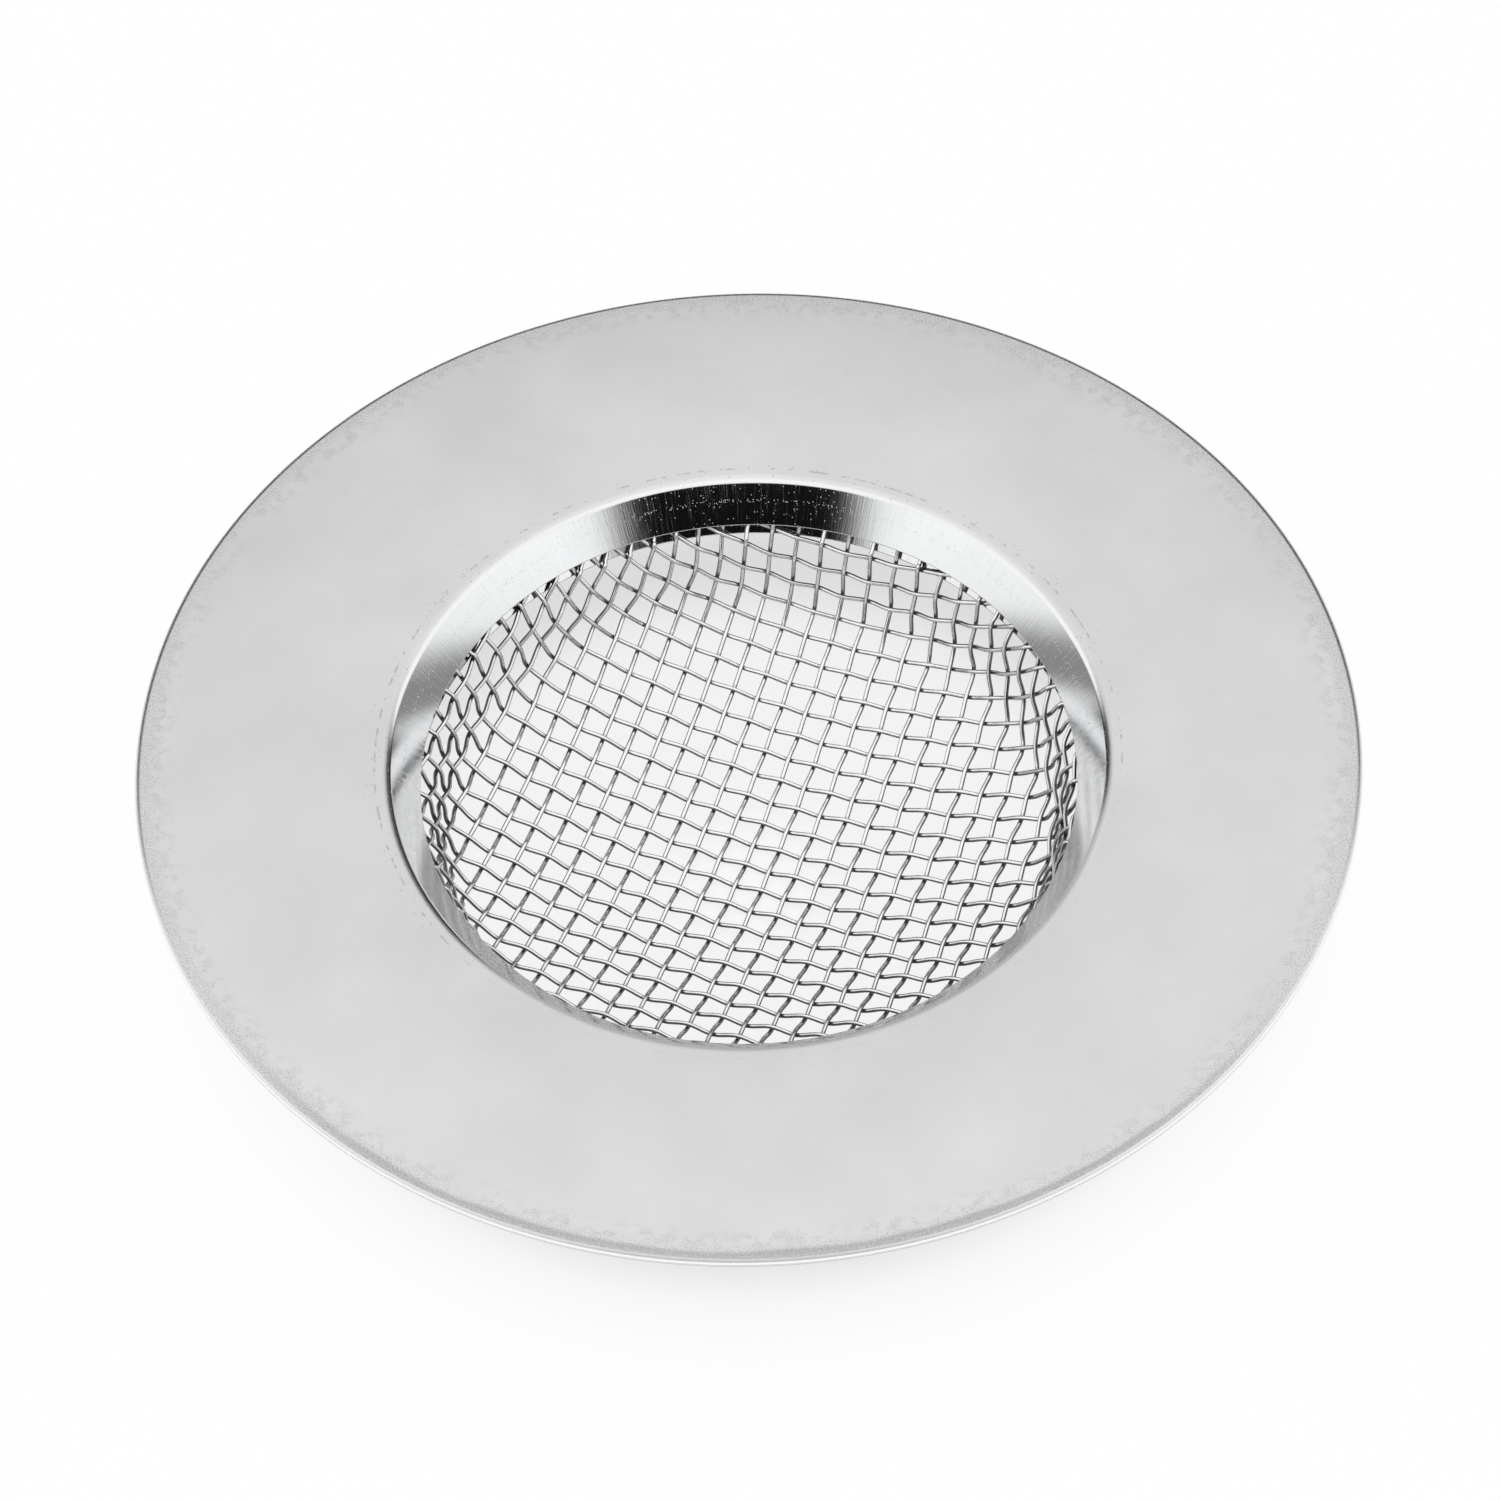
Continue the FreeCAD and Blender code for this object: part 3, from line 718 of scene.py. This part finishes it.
# %% [markdown]
# ## The basket
#
# The basket starts as flat woven cloth of round wires, and a press draws it into a dish with a steep
# wall. Its middle surface is another shape of turning, so one line from the centre to the cut ends
# describes it: a shallow dish, a corner, the wall, a knee, the slope of the collar and the bend of
# the lip. Each run has a length and a curvature, and the sizes of the plates fix the rest.

# %% Shape of the basket
WALL_LEAN = math.radians(16.5)
KNEE_BEND = 3.0 * MM
CORNER_BEND = 3.0 * MM
DISH_BEND = 49.0 * MM
BOWL_DEPTH = 14.8 * MM


def basket_runs():
    """Runs of the basket's middle surface from its centre outwards, as (length, curvature)."""
    mesh_corner = layer_corner(MESH_DEPTH)
    collar_run = (collar_end(SEAT_DEPTH, LOWER_COLLAR_DEPTH) - mesh_corner).dot(down_collar)
    knee_turn = COLLAR_LEAN - WALL_LEAN
    knee_tangent = KNEE_BEND * math.tan(knee_turn / 2)
    knee_corner = mesh_corner + down_collar * (collar_run + knee_tangent)
    down_wall = Vector((-math.sin(WALL_LEAN), -math.cos(WALL_LEAN)))
    into_bowl = Vector((-math.cos(WALL_LEAN), math.sin(WALL_LEAN)))
    dish_centre = Vector((0, FLANGE_TOP - BOWL_DEPTH + DISH_BEND))
    offset = knee_corner + into_bowl * CORNER_BEND - dish_centre
    along = offset.dot(down_wall)
    wall_run = -along + math.sqrt(along**2 - offset.dot(offset) + (DISH_BEND - CORNER_BEND) ** 2)
    from_centre = offset + down_wall * wall_run
    dish_turn = math.atan2(from_centre.x, -from_centre.y)
    corner_turn = math.pi / 2 - WALL_LEAN - dish_turn
    return (
        (DISH_BEND * dish_turn, 1 / DISH_BEND),
        (CORNER_BEND * corner_turn, 1 / CORNER_BEND),
        (wall_run - knee_tangent, 0),
        (KNEE_BEND * knee_turn, -1 / KNEE_BEND),
        (collar_run - mesh_bend * to_corner, 0),
        (mesh_bend * (math.pi / 2 - COLLAR_LEAN), -1 / mesh_bend),
        (math.inf, 0),
    )


runs = basket_runs()
gripped_from = sum(length for length, _ in runs[:4])
mesh_reach = sum(length for length, _ in runs[:6]) + MESH_HEM
print("from the centre to the cut ends", round(mesh_reach / MM, 2), "mm along the cloth")


# %% Lay a point of the flat cloth on the basket
def basket_section(distance):
    """Radius, height and slope of the basket's middle surface at a distance from its centre."""
    radius, height, slope = 0.0, FLANGE_TOP - BOWL_DEPTH, 0.0
    for length, curvature in runs:
        step = min(length, distance)
        if curvature:
            ahead = slope + curvature * step
            radius += (math.sin(ahead) - math.sin(slope)) / curvature
            height += (math.cos(slope) - math.cos(ahead)) / curvature
            slope = ahead
        else:
            radius += step * math.cos(slope)
            height += step * math.sin(slope)
        distance -= step
        if distance <= 0:
            break
    return radius, height, slope


def on_basket(across, along):
    """Place and normal on the basket of a point of the flat cloth."""
    distance = math.hypot(across, along)
    radius, height, slope = basket_section(distance)
    outwards = np.array((across, along, 0)) / distance
    upwards = np.array((0, 0, 1))
    return outwards * radius + upwards * height, upwards * math.cos(slope) - outwards * math.sin(slope)


print("cut ends at radius", round(basket_section(mesh_reach)[0] / MM, 2), "mm")

# %% [markdown]
# ## The net
#
# When woven cloth is pressed into a dish it gives by shearing: the squares between the wires turn
# into lozenges, but their sides keep their length. A cloth simulation could find the shape. That rule
# alone is enough: the net starts at the centre and grows outwards, and each new knot lies half a
# pitch away from the two knots that it is tied to. A quarter of the net is draped, and the rest
# mirrors it.

# %% Drape the net
WIRE_COUNT = 18
EDGE_MARGIN = 0.92 * MM
HALF_PITCH = (mesh_reach - EDGE_MARGIN) / (2 * WIRE_COUNT - 1)
PROBE_SHARE = 0.002
PROBE = PROBE_SHARE * HALF_PITCH
SEARCH_ROUNDS = 6


def next_knot(beside, below, behind):
    """Find the cloth point that lies half a pitch on the basket from both of its neighbours."""
    guess = np.add(beside, below) - behind
    ties = [on_basket(*knot)[0] for knot in (beside, below)]
    for _ in range(SEARCH_ROUNDS):
        here = on_basket(*guess)[0]
        by_across = (on_basket(guess[0] + PROBE, guess[1])[0] - here) / PROBE
        by_along = (on_basket(guess[0], guess[1] + PROBE)[0] - here) / PROBE
        spans = [here - tie for tie in ties]
        misses = [(span.dot(span) - HALF_PITCH**2) / 2 for span in spans]
        slopes = [[span.dot(by_across), span.dot(by_along)] for span in spans]
        guess = guess - np.linalg.solve(slopes, misses)
    return tuple(guess)


def drape():
    """Drape a square net over a quarter of the basket, knot by knot."""
    count = math.ceil(mesh_reach / HALF_PITCH) + 1
    net = {}
    for k in range(1, count + 1):
        net[k, 0] = (k * HALF_PITCH, 0.0)
        net[0, k] = (0.0, k * HALF_PITCH)
    for i in range(1, count + 1):
        for j in range(1, count + 1):
            around = [(i - 1, j), (i, j - 1), (i - 1, j - 1)]
            ties = [net.get(knot, (0.0, 0.0) if knot == (0, 0) else None) for knot in around]
            if None not in ties:
                knot = next_knot(*ties)
                if math.hypot(*knot) < mesh_reach + 2 * HALF_PITCH:
                    net[i, j] = knot
    return net


net = drape()
print("net of", len(net), "knots in a quarter, pitch", round(2 * HALF_PITCH / MM, 3), "mm")

# %% [markdown]
# ## The wires
#
# In plain weave every wire goes over one neighbour and under the next. A wire could be modelled as
# a bent cylinder, but it is simpler as a path: a line of knots, lifted up or pushed down along the
# normal of the basket, smoothed, and swept with a small circle. The script lists the knots of every
# wire, and Geometry Nodes do the lifting, the smoothing and the sweeping for all wires at once.

# %% Courses of the wires
CUT_SHARE = 0.2
CUT_MARGIN = CUT_SHARE * HALF_PITCH


def course(line, over):
    """One wire on the flat cloth, from cut end to cut end: points (across, along, lift, crossing).

    It keeps to one odd line of the net and crosses the odd lines of the other set, where crossing
    is 1. Where the plates grip it, it has closer points, so that it follows the bend of the lip.
    """
    last = max(j for i, j in net if i == line)
    points = []
    for j in range(-last, last + 1):
        if (line, abs(j)) in net:
            across, along = net[line, abs(j)]
            lift = (j % 2) * over * (-1) ** (line // 2 + j // 2)
            points.append(np.array((across, math.copysign(along, j), lift, j % 2)))
    closer = points[:1]
    for before, after in zip(points, points[1:]):
        between = (before + after) / 2
        between[3] = 0
        closer += [between, after]
    reach = [math.hypot(p[0], p[1]) for p in closer]
    inside = [k for k, distance in enumerate(reach) if distance < mesh_reach]
    kept = [closer[k] for k in inside if closer[k][3] or reach[k] > gripped_from]
    cuts = []
    for near, far in ((inside[0], inside[0] - 1), (inside[-1], inside[-1] + 1)):
        share = (mesh_reach - reach[near]) / (reach[far] - reach[near])
        step = closer[far] - closer[near]
        least_share = CUT_MARGIN / math.hypot(step[0], step[1])
        cuts.append(closer[near] + step * max(share, least_share))
    return [cuts[0], *kept, cuts[1]]


print("the wire nearest the centre has", len(course(1, 1)), "points")

# %% Lines of one set of wires
MESH_ANGLE = math.radians(-22)


def wire_lines(swap, over):
    """Points, normals, lifts and edges of all wires of one set, in the basket's place."""
    turn = Matrix.Rotation(MESH_ANGLE, 3, "Z")
    points, normals, lifts, edges = [], [], [], []
    for line in range(1, 2 * WIRE_COUNT, 2):
        for twin in (1, -1):
            half = Matrix.Diagonal((twin, twin, 1))
            for k, (across, along, lift, _) in enumerate(course(line, over)):
                spot, normal = on_basket(*((along, across) if swap else (across, along)))
                if k:
                    edges.append((len(points) - 1, len(points)))
                points.append(turn @ half @ Vector(spot))
                normals.append(turn @ half @ Vector(normal))
                lifts.append(lift)
    return points, normals, lifts, edges


def line_mesh(name, swap, over):
    """Wires of one set as a mesh of edges, with the basket's normal and the lift on each point."""
    points, normals, lifts, edges = wire_lines(swap, over)
    mesh = bpy.data.meshes.new(f"{name}_lines")
    mesh.from_pydata(points, edges, [])
    upward = mesh.attributes.new("upward", "FLOAT_VECTOR", "POINT")
    upward.data.foreach_set("vector", np.array(normals, dtype=np.float32).ravel())
    raised = mesh.attributes.new("raised", "FLOAT", "POINT")
    raised.data.foreach_set("value", np.array(lifts, dtype=np.float32))
    print(mesh.name, "with", len(points), "points")
    return mesh


# %% Wire tree
def stored(tree, name, kind):
    """Read an attribute of a kind that the points carry."""
    return add_node(tree, "GeometryNodeInputNamedAttribute", {"Name": name}, data_type=kind).outputs[0]


weave, weave_in, weave_out = new_tree(
    "weave", Crimp="Float", Radius="Float", Sides="Int", Steps="Int", Finish="Material"
)
normal = stored(weave, "upward", "FLOAT_VECTOR")
lift = stored(weave, "raised", "FLOAT")
crimped = product(weave, lift, weave_in["Crimp"])
offset = add_node(weave, "ShaderNodeVectorMath", {0: normal, "Scale": crimped}, operation="SCALE")
moved = add_node(
    weave, "GeometryNodeSetPosition", {"Geometry": weave_in["Geometry"], "Offset": offset.outputs[0]}
)
lines = add_node(weave, "GeometryNodeMeshToCurve", {0: moved.outputs[0]}).outputs[0]
bent = add_node(weave, "GeometryNodeCurveSplineType", {"Curve": lines}, spline_type="CATMULL_ROM")
fine = add_node(
    weave, "GeometryNodeSetSplineResolution", {"Geometry": bent.outputs[0], "Resolution": weave_in["Steps"]}
)
rods = swept(weave, fine.outputs[0], circle(weave, weave_in["Radius"], weave_in["Sides"]), True)
outwards = add_node(weave, "GeometryNodeInputNormal").outputs[0]
facing_up = add_node(weave, "ShaderNodeVectorMath", {0: outwards, 1: normal}, operation="DOT_PRODUCT")
crowned = add_node(
    weave, "GeometryNodeStoreNamedAttribute",
    {"Geometry": rods, "Name": "crown", "Value": facing_up.outputs["Value"]},
    data_type="FLOAT", domain="POINT",
)
finish_tree(weave, crowned.outputs[0], weave_in["Finish"], weave_out)

# %% [markdown]
# ## The steel of the wires
#
# Drawn wire is bright. In the basket the material keeps each wire light on its upper side and paints its
# flanks dark: painted light and shade, as light from above would fall. It also paints shade where a wire
# dips under another. Painting that on thousands of crossings is no work for a hand. The tree has stored two
# attributes on the wires: how far each point faces up from the basket, and how far the wire is lifted there.
# The material reads both.

# %% Wire material
CROWN_EDGES = (0.25, 0.86)
LIT_CROWN_TONE = (0.85, 0.98)
FLANK_SHADE_TONE = 0.14
UNDER_SHADE_EDGES = (-0.98, -0.60)
UNDER_SHADE_KEPT = 0.55
DRAWN_SIZE = 0.25 * MM
DRAWN_DETAIL = 3.0
WIRE_ROUGHNESS = (0.12, 0.24)

wire_steel, wire, wire_shader, wire_place = new_steel("wire_steel")
raised = add_node(wire, "ShaderNodeAttribute", attribute_name="raised").outputs["Fac"]
upper_side = add_node(wire, "ShaderNodeAttribute", attribute_name="crown").outputs["Fac"]
drawn = noise(wire, wire_place, 1 / DRAWN_SIZE, DRAWN_DETAIL)
# Painted light and shade: the upper side of each wire keeps a bright tone and its flanks are painted dark.
crown = soft_step(wire, upper_side, CROWN_EDGES)
painted_light_tone = mixed(wire, crown, FLANK_SHADE_TONE, mixed(wire, drawn, *LIT_CROWN_TONE))
# Painted shade where a wire dips under another.
under_crossing_shade = soft_step(wire, raised, UNDER_SHADE_EDGES, 1.0, 0.0)
wire_tone = mixed(wire, under_crossing_shade, painted_light_tone, product(wire, painted_light_tone, UNDER_SHADE_KEPT))
wire_colour = add_node(wire, "ShaderNodeCombineColor", {k: wire_tone for k in range(3)}).outputs[0]
wire.links.new(wire_colour, wire_shader.inputs["Base Color"])
wire.links.new(mixed(wire, drawn, *WIRE_ROUGHNESS), wire_shader.inputs["Roughness"])
print("wire steel with", len(wire.nodes), "nodes")

# %% Weave the wires
WIRE_SIDES = 10
STEPS_PER_KNOT = 5
CRIMP = (WIRE_DIAMETER + WEAVE_CLEARANCE) / 2


def woven(name, swap, over):
    """Weave one set of wires and let it stand for its CAD nodes."""
    wires = made_by(
        weave, name, line_mesh(name, swap, over),
        Crimp=CRIMP, Radius=WIRE_DIAMETER / 2, Sides=WIRE_SIDES, Steps=STEPS_PER_KNOT, Finish=wire_steel,
    )
    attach(wires, "root")
    stood_for = sorted(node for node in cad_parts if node.startswith(f"{name}_"))
    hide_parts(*stood_for)
    print(wires.name, len(wires.data.polygons), "faces for", len(stood_for), "nodes")


woven("warp_wires", False, 1)
woven("weft_wires", True, -1)
